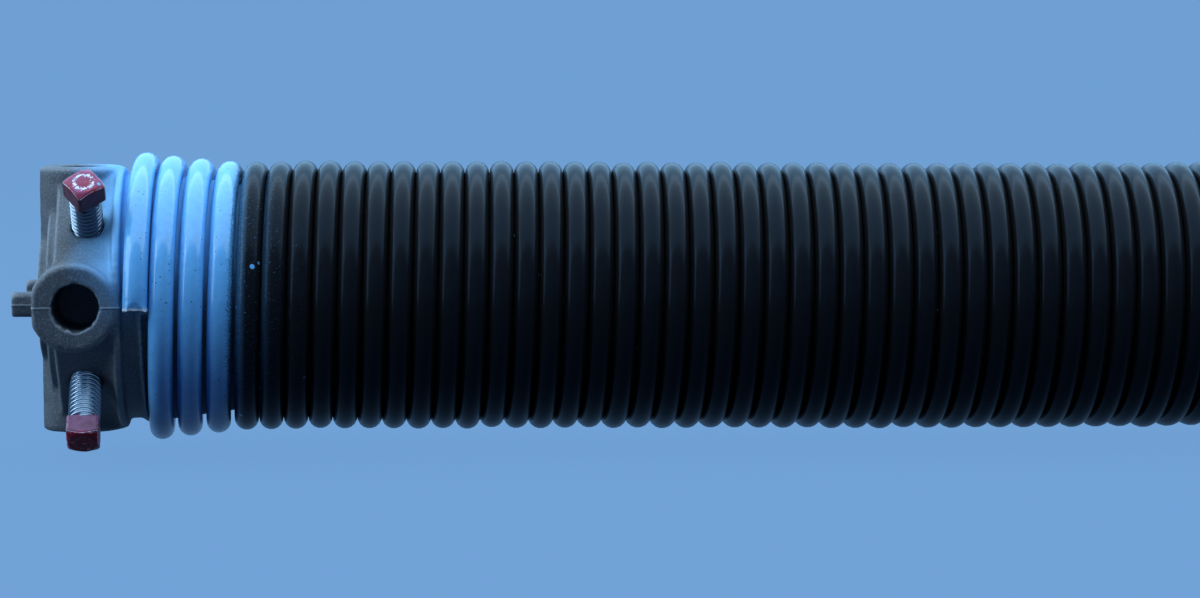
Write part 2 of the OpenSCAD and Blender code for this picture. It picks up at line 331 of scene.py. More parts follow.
def cast_iron(painted):
    """Sand-cast grey iron: dull, sandy grain with paler rubbed edges. The winding cone also
    shows its parting line, and took blue overspray from above beside the painted turns."""
    name = "sand-cast grey iron" + (", blue overspray" if painted else "")
    material, tree, shader = new_material(name, Metallic=0.2)
    place = add(tree, "ShaderNodeTexCoord")
    spot = place.outputs["Object"]
    # Moulding sand of about 0.35 mm, drawn a little coarse so that it shows.
    sand = add(tree, "ShaderNodeTexNoise",
               {"Vector": spot, "Scale": 1500, "Detail": 3, "Roughness": 0.7})
    cloud = add(tree, "ShaderNodeTexNoise", {"Vector": spot, "Scale": 130, "Detail": 4})
    dark = add(tree, "ShaderNodeMix",
               {FACTOR: cloud, BASE: linear("#393c42"), OVER: linear("#54585f")},
               data_type="RGBA")
    specks = add(tree, "ShaderNodeMapRange", [sand, 0.48, 0.75, 0, 0.6])
    iron = add(tree, "ShaderNodeMix",
               {FACTOR: specks, BASE: dark.outputs[MIXED], OVER: linear("#8f949c")},
               data_type="RGBA")
    ridge = add(tree, "ShaderNodeNewGeometry")
    worn = add(tree, "ShaderNodeMapRange", [ridge.outputs["Pointiness"], 0.52, 0.58, 0, 0.8])
    iron = add(tree, "ShaderNodeMix",
               {FACTOR: worn, BASE: iron.outputs[MIXED], OVER: linear("#9fa5ad")},
               data_type="RGBA")
    height = sand
    if painted:
        xyz = add(tree, "ShaderNodeSeparateXYZ", [spot])
        facing = add(tree, "ShaderNodeSeparateXYZ", [place.outputs["Normal"]])
        # Parting line round the head at mid height, about half a millimetre wide.
        wander = add(tree, "ShaderNodeMath", [cloud, 0.5 * MM, xyz.outputs["Z"]],
                     operation="MULTIPLY_ADD")
        off_line = add(tree, "ShaderNodeMath", [wander, 0.25 * MM], operation="SUBTRACT")
        off_line = add(tree, "ShaderNodeMath", [off_line], operation="ABSOLUTE")
        line = add(tree, "ShaderNodeMapRange", [off_line, 0.45 * MM, 0.1 * MM, 0, 1])
        on_head = add(tree, "ShaderNodeMath", [xyz.outputs["X"], 26 * MM],
                      operation="LESS_THAN")
        line = add(tree, "ShaderNodeMath", [line, on_head], operation="MULTIPLY")
        height = add(tree, "ShaderNodeMath", [line, 1.5, sand], operation="MULTIPLY_ADD")
        pale = add(tree, "ShaderNodeMath", [line, 0.35], operation="MULTIPLY")
        iron = add(tree, "ShaderNodeMix",
                   {FACTOR: pale, BASE: iron.outputs[MIXED], OVER: linear("#a3a8b0")},
                   data_type="RGBA")
        # Overspray, denser towards the painted turns, on what faces up above mid height.
        drift = add(tree, "ShaderNodeMath", [cloud, 8 * MM, xyz.outputs["X"]],
                    operation="MULTIPLY_ADD")
        drift = add(tree, "ShaderNodeMath", [sand, 5 * MM, drift], operation="MULTIPLY_ADD")
        spray = add(tree, "ShaderNodeMapRange", [drift, 16 * MM, 33 * MM, 0, 0.82])
        above = add(tree, "ShaderNodeMapRange", [xyz.outputs["Z"], -9 * MM, 13 * MM, 0, 1])
        upward = add(tree, "ShaderNodeMapRange", [facing.outputs["Z"], -0.5, 0.4, 0, 1])
        spray = add(tree, "ShaderNodeMath", [spray, above], operation="MULTIPLY")
        spray = add(tree, "ShaderNodeMath", [spray, upward], operation="MULTIPLY")
        iron = add(tree, "ShaderNodeMix",
                   {FACTOR: spray, BASE: iron.outputs[MIXED], OVER: linear(LIGHT_BLUE)},
                   data_type="RGBA")
    tree.links.new(iron.outputs[MIXED], shader.inputs["Base Color"])
    rough = add(tree, "ShaderNodeMapRange", [sand, 0.3, 0.7, 0.48, 0.75])
    tree.links.new(rough.outputs[0], shader.inputs["Roughness"])
    bump = add(tree, "ShaderNodeBump",
               {"Strength": 0.7, "Distance": 0.16 * MM, "Height": height})
    tree.links.new(bump.outputs[0], shader.inputs["Normal"])
    return material


def zinc_plate():
    """Bright zinc on a rolled thread: silver crests, and darker grooves that are painted shade."""
    material, tree, shader = new_material("zinc-plated rolled thread", Metallic=1.0)
    place = add(tree, "ShaderNodeTexCoord")
    haze = add(tree, "ShaderNodeTexNoise",
               {"Vector": place.outputs["Object"], "Scale": 700, "Detail": 3})
    painted_root_shade = add(tree, "ShaderNodeAttribute", attribute_name="painted_root_shade")
    clean = add(tree, "ShaderNodeMix",
                {FACTOR: haze, BASE: linear("#c3d0dc"), OVER: linear("#eaf4fb")},
                data_type="RGBA")
    # Darker towards the bottom of each groove: painted shade in the thread.
    colour = add(tree, "ShaderNodeMix",
                 {FACTOR: painted_root_shade.outputs["Fac"], BASE: clean.outputs[MIXED],
                  OVER: linear("#4c5663")}, data_type="RGBA")
    tree.links.new(colour.outputs[MIXED], shader.inputs["Base Color"])
    rough = add(tree, "ShaderNodeMapRange", [haze, 0.3, 0.7, 0.14, 0.24])
    tree.links.new(rough.outputs[0], shader.inputs["Roughness"])
    return material


def head_paint(name, centre, turn, scrape, scratches, blue_speck):
    """Thin dusty red paint on a square head, broken to bright steel along its edges. A
    wrench has scraped a ragged ring in it, or long scratches, as strongly as is given."""
    material, tree, shader = new_material("chipped red paint, " + name, IOR=1.3)
    place = add(tree, "ShaderNodeTexCoord")
    spot = place.outputs["Object"]
    local = add(tree, "ShaderNodeMapping",
                {"Vector": spot, "Location": centre, "Rotation": turn}, vector_type="TEXTURE")
    xyz = add(tree, "ShaderNodeSeparateXYZ", [local])
    flat = add(tree, "ShaderNodeCombineXYZ", [xyz.outputs["X"], xyz.outputs["Y"]])
    away = add(tree, "ShaderNodeVectorMath", [flat], operation="LENGTH")
    chips = add(tree, "ShaderNodeTexNoise",
                {"Vector": spot, "Scale": 1100, "Detail": 5, "Roughness": 0.75})
    dust = add(tree, "ShaderNodeTexNoise",
               {"Vector": spot, "Scale": 260, "Detail": 4, "Roughness": 0.6})
    # The scraped ring, whose width wanders from nothing to a millimetre.
    ring = add(tree, "ShaderNodeMath", [away.outputs["Value"], SCRAPE_R], operation="SUBTRACT")
    ring = add(tree, "ShaderNodeMath", [ring], operation="ABSOLUTE")
    ragged = add(tree, "ShaderNodeTexNoise",
                 {"Vector": spot, "Scale": 1900, "Detail": 3, "Roughness": 0.6})
    ring = add(tree, "ShaderNodeMath", [ragged, -4.0 * MM, ring], operation="MULTIPLY_ADD")
    ring = add(tree, "ShaderNodeMapRange", [ring, -1.85 * MM, -1.65 * MM, scrape, 0])
    top = add(tree, "ShaderNodeMapRange", [xyz.outputs["Z"], -1.2 * MM, -0.8 * MM, 0, 1])
    ring = add(tree, "ShaderNodeMath", [ring, top], operation="MULTIPLY")
    edge = add(tree, "ShaderNodeAttribute", attribute_name="edge")
    rim = add(tree, "ShaderNodeMath", [chips, 1.6, edge.outputs["Fac"]],
              operation="MULTIPLY_ADD")
    rim = add(tree, "ShaderNodeMapRange", [rim, 1.55, 1.7, 0, 1])
    # Long scratches across the crown.
    streak = add(tree, "ShaderNodeMapping", {"Vector": local, "Scale": (0.35, 1.6, 1)})
    streak = add(tree, "ShaderNodeTexNoise", {"Vector": streak, "Scale": 800, "Detail": 3})
    streak = add(tree, "ShaderNodeMapRange", [streak, 0.6, 0.66, 0, scratches])
    streak = add(tree, "ShaderNodeMath", [streak, top], operation="MULTIPLY")
    bare = add(tree, "ShaderNodeMath", [ring, rim], operation="MAXIMUM")
    bare = add(tree, "ShaderNodeMath", [bare, streak], operation="MAXIMUM")
    # The flanks are painted darker than the crown, partly as thinner paint and partly as painted shade on sides
    # turned away from the light above. Dust lies where the head faces up.
    thin_and_shaded_flank = add(tree, "ShaderNodeMix",
               {FACTOR: chips, BASE: linear("#4a2c38"), OVER: linear("#7a4450")},
               data_type="RGBA")
    red = add(tree, "ShaderNodeMix",
              {FACTOR: chips, BASE: linear("#84121f"), OVER: linear("#a62638")},
              data_type="RGBA")
    red = add(tree, "ShaderNodeMix",
              {FACTOR: top, BASE: thin_and_shaded_flank.outputs[MIXED], OVER: red.outputs[MIXED]},
              data_type="RGBA")
    facing = add(tree, "ShaderNodeSeparateXYZ", [place.outputs["Normal"]])
    settled = add(tree, "ShaderNodeMapRange", [facing.outputs["Z"], -0.2, 0.7, 0, 1])
    veil = add(tree, "ShaderNodeMapRange", [dust, 0.35, 0.65, 0.15, 0.62])
    veil = add(tree, "ShaderNodeMath", [veil, settled], operation="MULTIPLY")
    red = add(tree, "ShaderNodeMix",
              {FACTOR: veil, BASE: red.outputs[MIXED], OVER: linear("#a06c98")},
              data_type="RGBA")
    # A stray speck of the spring's blue.
    speck = add(tree, "ShaderNodeVectorMath", [flat, SPECK_SPOT], operation="DISTANCE")
    speck = add(tree, "ShaderNodeMapRange",
                [speck.outputs["Value"], blue_speck, 0.7 * blue_speck, 0, 1])
    red = add(tree, "ShaderNodeMix",
              {FACTOR: speck, BASE: red.outputs[MIXED], OVER: linear("#6fb6f0")},
              data_type="RGBA")
    colour = add(tree, "ShaderNodeMix",
                 {FACTOR: bare, BASE: red.outputs[MIXED], OVER: linear("#c9d6e4")},
                 data_type="RGBA")
    tree.links.new(colour.outputs[MIXED], shader.inputs["Base Color"])
    tree.links.new(bare.outputs[0], shader.inputs["Metallic"])
    rough = add(tree, "ShaderNodeMapRange", [dust, 0.3, 0.7, 0.3, 0.5])
    tree.links.new(rough.outputs[0], shader.inputs["Roughness"])
    bump = add(tree, "ShaderNodeBump", {"Strength": 0.5, "Distance": 0.08 * MM, "Height": bare},
               invert=True)
    tree.links.new(bump.outputs[0], shader.inputs["Normal"])
    return material


def matt_floor():
    """Matt floor that glows in one flat pale blue. What it throws back onto the part is
    held down, as black flags beside the part would."""
    material, tree, shader = new_material("pale matt studio floor", Roughness=0.95,
                                          Specular_IOR_Level=0.0, Emission_Color=linear(PALE))
    place = add(tree, "ShaderNodeTexCoord")
    tooth = add(tree, "ShaderNodeTexNoise",
                {"Vector": place.outputs["Object"], "Scale": 3, "Detail": 2})
    shown = seen_rays(tree)
    pale = add(tree, "ShaderNodeMix",
               {FACTOR: tooth, BASE: linear("#14171c"), OVER: linear("#171a20")},
               data_type="RGBA")
    shade = add(tree, "ShaderNodeMix",
                {FACTOR: shown, BASE: linear("#26324a"), OVER: pale.outputs[MIXED]},
                data_type="RGBA")
    tree.links.new(shade.outputs[MIXED], shader.inputs["Base Color"])
    # Its full glow goes to the camera, and six tenths of it into the gloss.
    ray = add(tree, "ShaderNodeLightPath")
    glow = add(tree, "ShaderNodeMath", [ray.outputs["Is Camera Ray"], 0.667, shown],
               operation="MULTIPLY_ADD")
    glow = add(tree, "ShaderNodeMath", [glow, 0.6], operation="MULTIPLY")
    tree.links.new(glow.outputs[0], shader.inputs["Emission Strength"])
    return material


# ---------------------------------------------------------------- the spring

def wound_wire_tree():
    """Winds a round wire into a left-hand coil. Both ends flare and open out on their
    cones, and the free turns lie close together with a slight sag."""
    tree = new_tree("wound wire", {
        "Turns": "Float", "Rings": "Int", "Sides": "Int", "Wire radius": "Float",
        "Start": "Float", "End": "Float", "Mean radius": "Float", "Flare": "Float",
        "Flare halves": "Float", "Flare power": "Float", "Half pitch": "Float",
        "Opened halves": "Float", "Cone extra": "Float", "First saving": "Float",
        "Tail turns": "Float", "Sag": "Float", "Unevenness": "Float", "Seed": "Float",
        "Material": "Material"})
    given = add(tree, "NodeGroupInput").outputs
    maths = "ShaderNodeMath"
    along = add(tree, "GeometryNodeSplineParameter")
    span = add(tree, maths, [given["Tail turns"], 2, given["Turns"]], operation="MULTIPLY_ADD")
    turn = add(tree, maths, [along, span], operation="MULTIPLY")
    turn = add(tree, maths, [turn, given["Tail turns"]], operation="SUBTRACT")
    left = add(tree, maths, [given["Turns"], turn], operation="SUBTRACT")
    halves = add(tree, maths, [turn, left], operation="MINIMUM")
    halves = add(tree, maths, [halves, 2], operation="MULTIPLY")
    halves = add(tree, maths, [halves, 0], operation="MAXIMUM")
    # The coil's radius, flared over the last turns.
    flare = add(tree, maths, [halves, given["Flare halves"]], operation="DIVIDE")
    flare = add(tree, maths, [1, flare], operation="SUBTRACT", use_clamp=True)
    flare = add(tree, maths, [flare, given["Flare power"]], operation="POWER")
    # Small slow swellings of the coil, none at its ends and full after twelve half turns.
    free = add(tree, maths, [halves, 1 / 12], operation="MULTIPLY", use_clamp=True)
    wave = add(tree, maths, [turn, 1.7, given["Seed"]], operation="MULTIPLY_ADD")
    wave = add(tree, "ShaderNodeTexNoise", {"W": wave, "Scale": 1, "Detail": 1},
               noise_dimensions="1D")
    wave = add(tree, maths, [wave, 0.5], operation="SUBTRACT")
    wave = add(tree, maths, [wave, free], operation="MULTIPLY")
    radius = add(tree, maths, [flare, given["Flare"], given["Mean radius"]],
                 operation="MULTIPLY_ADD")
    bulge = add(tree, maths, [wave, given["Unevenness"]], operation="MULTIPLY")
    radius = add(tree, maths, [bulge, 4, radius], operation="MULTIPLY_ADD")
    # Advance from an end: a short first half turn, then the cone's pitch, then close wound.
    opened = add(tree, maths, [halves, given["Opened halves"]], operation="MINIMUM")
    first = add(tree, maths, [halves, 1], operation="MINIMUM")
    saved = add(tree, maths, [first, given["First saving"]], operation="MULTIPLY")
    rise = add(tree, maths, [halves, given["Half pitch"]], operation="MULTIPLY")
    rise = add(tree, maths, [opened, given["Cone extra"], rise], operation="MULTIPLY_ADD")
    rise = add(tree, maths, [rise, saved], operation="SUBTRACT")
    near = add(tree, maths, [given["Start"], rise], operation="ADD")
    far = add(tree, maths, [given["End"], rise], operation="SUBTRACT")
    second = add(tree, maths, [left, turn], operation="LESS_THAN")
    x = add(tree, "ShaderNodeMix", {FACTOR: second, FLOAT_A: near, FLOAT_B: far})
    # Sag: nothing over the first eight half turns on a cone, most in the middle.
    reach = add(tree, "ShaderNodeMapRange", [halves, 8, given["Turns"], 0, math.pi / 2])
    dip = add(tree, maths, [reach], operation="SINE")
    dip = add(tree, maths, [dip, 2], operation="POWER")
    dip = add(tree, maths, [dip, given["Sag"]], operation="MULTIPLY")
    angle = add(tree, maths, [turn, 2 * math.pi], operation="MULTIPLY")
    front = add(tree, maths, [angle], operation="COSINE")
    front = add(tree, maths, [front, radius], operation="MULTIPLY")
    y = add(tree, maths, [front, -1], operation="MULTIPLY")
    up = add(tree, maths, [angle], operation="SINE")
    up = add(tree, maths, [up, radius], operation="MULTIPLY")
    z = add(tree, maths, [up, dip], operation="SUBTRACT")
    spot = add(tree, "ShaderNodeCombineXYZ", [x, y, z])
    line = add(tree, "GeometryNodeCurvePrimitiveLine")
    points = add(tree, "GeometryNodeResampleCurve", {"Curve": line, "Count": given["Rings"]})
    coil = add(tree, "GeometryNodeSetPosition", {"Geometry": points, "Position": spot})
    # The section keeps one corner along the axis, where it meets the turn beside it.
    coil = add(tree, "GeometryNodeSetCurveNormal", {"Curve": coil, "Normal": (1, 0, 0)},
               mode="FREE")
    section = add(tree, "GeometryNodeCurvePrimitiveCircle",
                  {"Resolution": given["Sides"], "Radius": given["Wire radius"]})
    wire = add(tree, "GeometryNodeCurveToMesh",
               {"Curve": coil, "Profile Curve": section, "Fill Caps": True})
    wire = add(tree, "GeometryNodeSetShadeSmooth", [wire])
    wire = add(tree, "GeometryNodeRealizeInstances", [wire])
    wire = add(tree, "GeometryNodeSetMaterial",
               {"Geometry": wire, "Material": given["Material"]})
    add(tree, "NodeGroupOutput", [wire])
    return tree


def refine_end(bm, cap):
    """Splits the wall beside a cut end into small faces, which can be bent and torn."""
    rim = set(cap.verts)
    walls = [f for f in bm.faces if f is not cap and len(rim & set(f.verts)) == 2]
    along = dict.fromkeys(e for f in walls for e in f.edges if len(rim & set(e.verts)) == 1)
    made = bmesh.ops.subdivide_edges(bm, edges=list(along), cuts=4)["geom_inner"]
    inner = [v for v in made if isinstance(v, bmesh.types.BMVert)]
    band = dict.fromkeys(f for v in inner for f in v.link_faces if len(f.verts) <= 4)
    edges = dict.fromkeys(e for f in band for e in f.edges)
    bmesh.ops.subdivide_edges(bm, edges=list(edges), cuts=2, use_grid_fill=True)


def shear_cut_ends(mesh):
    """Works both cut ends as a shear leaves them: a facet sliced off the outer side, a
    rough face, and a ragged burred rim, its near-white mark partly bare steel and partly a
    painted highlight."""
    bm = bmesh.new()
    bm.from_mesh(mesh)
    burr_and_glint = bm.verts.layers.float.new("burr_and_glint")
    for cap in [f for f in bm.faces if len(f.verts) == SIDES]:
        out = cap.normal.copy()
        centre = cap.calc_center_median()
        outer = Vector((0, centre.y, centre.z)).normalized()
        refine_end(bm, cap)
        cap = max((f for f in bm.faces if len(f.verts) > 2 * SIDES),
                  key=lambda f: -(f.calc_center_median() - centre).length)
        # Only the wire's own last stretch, never the turn beside it.
        near = front = set(cap.verts)
        while front:
            front = {e.other_vert(v) for v in front for e in v.link_edges} - near
            front = {v for v in front if (centre - v.co).dot(out) < SHEARED_LENGTH}
            near = near | front
        # Where the shear first bit, it sliced a facet that slopes in towards the end.
        facet = (outer * math.cos(FACET_SLOPE) + out * math.sin(FACET_SLOPE)).normalized()
        facet_top = centre + outer * WIRE_R - out * FACET_LENGTH
        for vert in near:
            # The many-sided wire is drawn out to a true round, and eases back to its sides.
            back = -(vert.co - centre).dot(out)
            middle = centre - out * back - outer * (back ** 2 / (2 * (COIL_R + END_FLARE)))
            off = vert.co - middle
            off -= out * off.dot(out)
            if off.length > 0.5 * WIRE_R:
                rounder = min(1, (SHEARED_LENGTH - back) / (1.5 * MM)) * (WIRE_R - off.length)
                vert.co += off.normalized() * rounder
            over = (vert.co - facet_top).dot(facet)
            if over > 0:
                vert.co -= facet * (over + 0.05 * MM * noise.noise(vert.co / (0.6 * MM)))
            rough = noise.noise(vert.co / (0.55 * MM)) + 0.6 * noise.noise(vert.co / (1.7 * MM))
            at_rim = max(0, 1 - back / RAGGED_DEPTH)
            vert.co += out * (0.40 * MM * rough * at_rim)
            # Near white along the torn rim: bare steel and chipped paint, with a painted highlight on the ragged
            # edge.
            bright = 1.5 * (max(0, 1 - back / BURR_GLINT_DEPTH) + rough * at_rim)
            vert[burr_and_glint] = max(0, min(1, bright))
        # The cut face is dished a little.
        bmesh.ops.inset_individual(bm, faces=[cap], thickness=0.5 * MM)
        for vert in bmesh.ops.poke(bm, faces=[cap])["verts"]:
            vert.co -= out * 0.35 * MM
    # Shading breaks at the edges of the cut and of the facet.
    for edge in bm.edges:
        if len(edge.link_faces) == 2 and edge.calc_face_angle(0) > math.radians(50):
            edge.smooth = False
    bm.to_mesh(mesh)
    bm.free()


def wind_spring():
    """The whole wire, wound to the length of the frame's spring."""
    low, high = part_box("torsion_spring")
    # The opened turns on a cone and then close ones fill each half of the length.
    half_length = (high.x - low.x) / 2 - WIRE_R
    on_cone = (OPEN_HALVES - 1) * CONE_HALF_PITCH + FIRST_HALF_PITCH
    free_half_pitch = (half_length - on_cone) / (TURNS - OPEN_HALVES)
    spring = grown("torsion spring", wound_wire_tree(), {
        "Turns": TURNS, "Rings": int(TURNS * RINGS_PER_TURN) + 1, "Sides": SIDES,
        "Wire radius": WIRE_R, "Start": low.x + WIRE_R, "End": high.x - WIRE_R,
        "Mean radius": COIL_R, "Flare": END_FLARE, "Flare halves": 2 * FLARE_TURNS,
        "Flare power": FLARE_POWER, "Half pitch": free_half_pitch,
        "Cone extra": CONE_HALF_PITCH - free_half_pitch, "Opened halves": OPEN_HALVES,
        "First saving": CONE_HALF_PITCH - FIRST_HALF_PITCH,
        "Tail turns": CUT_TAIL / (2 * math.pi * (COIL_R + END_FLARE)),
        "Sag": SAG, "Unevenness": UNEVEN, "Seed": UNEVEN_SEED, "Material": spring_paint()})
    shear_cut_ends(spring.data)
    spring.name = "wound_spring_wire"
    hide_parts("torsion_spring")
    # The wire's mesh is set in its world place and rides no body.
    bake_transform(spring)


# ---------------------------------------------------------------- the castings

def cast_skin(node, voxel):
    """A close-knit copy of a CAD casting, its edges eased and its skin left sandy."""
    merged = bmesh.new()
    merged.from_mesh(frame["nodes"][node].data)
    bmesh.ops.remove_doubles(merged, verts=merged.verts, dist=0.002 * MM)
    mesh = bpy.data.meshes.new(node + " skin")
    merged.to_mesh(mesh)
    merged.free()
    obj = link_object(node + " skin", mesh)
    remesh = obj.modifiers.new("skin", "REMESH")
    remesh.mode = "VOXEL"
    remesh.voxel_size = voxel
    skin = apply_modifiers(obj)
    ease = bmesh.new()
    ease.from_mesh(skin)
    for _ in range(2):
        bmesh.ops.smooth_vert(ease, verts=ease.verts, factor=0.5,
                              use_axis_x=True, use_axis_y=True, use_axis_z=True)
    ease.to_mesh(skin)
    ease.free()
    return obj


def roughen(mesh, relief, low, high):
    """Moves each point along its normal by the sand's unevenness and by the casting's
    relief, and keeps it in the box from low to high."""
    spots = [vert.co.copy() for vert in mesh.vertices]
    normals = [vert.normal.copy() for vert in mesh.vertices]
    moved = []
    for spot, normal in zip(spots, normals):
        lift = 0.10 * MM * noise.noise(spot / (5 * MM))
        lift += 0.05 * MM * noise.noise(spot / (1.1 * MM))
        spot += normal * (lift + relief(spot, normal))
        moved.extend(max(least, min(most, c)) for least, c, most in zip(low, spot, high))
    mesh.vertices.foreach_set("co", moved)
    mesh.polygons.foreach_set("use_smooth", [True] * len(mesh.polygons))
    mesh.update()


def winding_cone_relief(spot, normal):
    """Parting line round the head at mid height, flash round the front socket, and the
    hollow that leads into the thread below the wire's end."""
    off_axis = math.hypot(spot.x - SOCKET_X, spot.z)
    lift = 0
    upright = abs(normal.z) < 0.6
    if spot.x < HEAD_END_X and off_axis > SOCKET_R + 0.6 * MM and upright:
        lift += LINE_HEIGHT * math.exp(-(spot.z / LINE_WIDTH) ** 2)
    if spot.y < BOSS_FRONT_Y and abs(off_axis - SOCKET_R) < 1.2 * MM:
        ragged = 0.5 + noise.noise(Vector((spot.x, 0, spot.z)) / (1.6 * MM))
        lift += FLASH_HEIGHT * ragged * (1.4 if spot.z < 0 else 0.4)
    below = math.degrees(math.atan2(-spot.z, -spot.y))
    if HOLLOW_FROM < below < HOLLOW_TO and math.hypot(spot.y, spot.z) > HOLLOW_R:
        # It starts at a wall that leans with the turn, and grows from the wire's end.
        wall_x = (31.1 + 1.6 * below / 80) * MM
        if wall_x < spot.x < HOLLOW_END_X:
            steep = min(1, (spot.x - wall_x) / (0.4 * MM))
            lift -= HOLLOW_DEPTH * steep * min(1, (below - HOLLOW_FROM) / 4)
    return lift


def no_relief(spot, normal):
    return 0


def cast_piece(node, name, body, voxel, painted, relief):
    """A finished casting that stands for the CAD node and rides the body."""
    piece = cast_skin(node, voxel)
    piece.name = name
    roughen(piece.data, relief, *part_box(node))
    piece.data.materials.clear()
    piece.data.materials.append(cast_iron(painted))
    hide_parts(node)
    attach(piece, body)


# ---------------------------------------------------------------- the set screws

def rolled_thread_tree():
    """Rolls a V thread on a rod along Z, from its point at Z = 0 up to its full length."""
    tree = new_tree("rolled thread", {
        "Length": "Float", "Radius": "Float", "Pitch": "Float", "Depth": "Float",
        "Chamfer": "Float", "Around": "Int", "Rings": "Int", "Material": "Material"})
    given = add(tree, "NodeGroupInput").outputs
    maths = "ShaderNodeMath"
    grid = add(tree, "GeometryNodeMeshGrid",
               {"Size X": 1, "Size Y": 1, "Vertices X": given["Around"],
                "Vertices Y": given["Rings"]})
    spot = add(tree, "ShaderNodeSeparateXYZ", [add(tree, "GeometryNodeInputPosition")])
    around = add(tree, maths, [spot.outputs["X"], 0.5], operation="ADD")
    along = add(tree, maths, [spot.outputs["Y"], 0.5], operation="ADD", use_clamp=True)
    height = add(tree, maths, [along, given["Length"]], operation="MULTIPLY")
    lead = add(tree, maths, [height, given["Pitch"]], operation="DIVIDE")
    lead = add(tree, maths, [lead, around], operation="SUBTRACT")
    lead = add(tree, maths, [lead, 0.5], operation="PINGPONG")
    # Between a narrow crest and a narrow root, as shares of the pitch.
    groove = add(tree, "ShaderNodeMapRange", [lead, 0.06, 0.44, 0, 1],
                 interpolation_type="SMOOTHSTEP")
    cut = add(tree, maths, [groove, given["Depth"]], operation="MULTIPLY")
    threaded = add(tree, maths, [given["Radius"], cut], operation="SUBTRACT")
    nose = add(tree, maths, [given["Radius"], given["Chamfer"]], operation="SUBTRACT")
    limit = add(tree, maths, [height, nose], operation="ADD")
    radius = add(tree, maths, [threaded, limit], operation="MINIMUM")
    angle = add(tree, maths, [around, 2 * math.pi], operation="MULTIPLY")
    cosine = add(tree, maths, [angle], operation="COSINE")
    sine = add(tree, maths, [angle], operation="SINE")
    x = add(tree, maths, [cosine, radius], operation="MULTIPLY")
    y = add(tree, maths, [sine, radius], operation="MULTIPLY")
    place = add(tree, "ShaderNodeCombineXYZ", [x, y, height])
    shaft = add(tree, "GeometryNodeSetPosition", {"Geometry": grid, "Position": place})
    # The groove is kept as the mask for the painted shade in the thread's grooves.
    shaft = add(tree, "GeometryNodeStoreNamedAttribute",
                {"Geometry": shaft, "Name": "painted_root_shade", "Value": groove})
    shaft = add(tree, "GeometryNodeMergeByDistance",
                {"Geometry": shaft, "Distance": 0.001 * MM})
    shaft = add(tree, "GeometryNodeSetShadeSmooth", [shaft])
    shaft = add(tree, "GeometryNodeRealizeInstances", [shaft])
    shaft = add(tree, "GeometryNodeSetMaterial",
                {"Geometry": shaft, "Material": given["Material"]})
    add(tree, "NodeGroupOutput", [shaft])
    return tree


def square_head(side_wear):
    """Forged square head, its crown coned towards the corners, which are rounded and
    knocked. The top is at Z = 0. Side wear is how far the upright edges lost their paint."""
    bm = bmesh.new()
    bmesh.ops.create_cube(bm, size=1)
    bmesh.ops.subdivide_edges(bm, edges=bm.edges, cuts=HEAD_CUTS, use_grid_fill=True)
    edge_layer = bm.verts.layers.float.new("edge")
    half = Vector((HEAD_W / 2, HEAD_W / 2, HEAD_H / 2))
    for vert in bm.verts:
        # Points are gathered towards the corners, where the rounding needs them.
        spot = Vector([h * math.sin(math.pi * c) for h, c in zip(half, vert.co)])
        inner = [h - HEAD_EDGE_R for h in half]
        core = Vector([max(-i, min(i, c)) for i, c in zip(inner, spot)])
        off = spot - core
        level = math.hypot(off.x, off.y)
        steep = max(0, off.z)
        if off.length > 0:
            top_edge = min(level, steep) / max(level, steep, 1e-9)
            side_edge = min(abs(off.x), abs(off.y)) / max(abs(off.x), abs(off.y), 1e-9)
            vert[edge_layer] = max(top_edge ** 2, side_wear * side_edge ** 2)
            spot = core + off.normalized() * HEAD_EDGE_R
        away = math.hypot(spot.x, spot.y)
        # The corners are trimmed, and keep a quarter of what stood out.
        trimmed = min(away, CORNER_R + 0.25 * (away - CORNER_R)) if away > CORNER_R else away
        if away > 0:
            spot.x *= trimmed / away
            spot.y *= trimmed / away
        slope = max(0, trimmed - CROWN_FLAT_R) / (CORNER_R - CROWN_FLAT_R)
        spot.z -= CROWN_DROP * slope * max(0, spot.z / half.z)
        spot += spot.normalized() * (0.12 * MM * noise.noise(spot / (1.8 * MM)))
        vert.co = spot - Vector((0, 0, half.z))
    for face in bm.faces:
        face.smooth = True
    bmesh.ops.recalc_face_normals(bm, faces=bm.faces)
    mesh = bpy.data.meshes.new("square head")
    bm.to_mesh(mesh)
    bm.free()
    return mesh


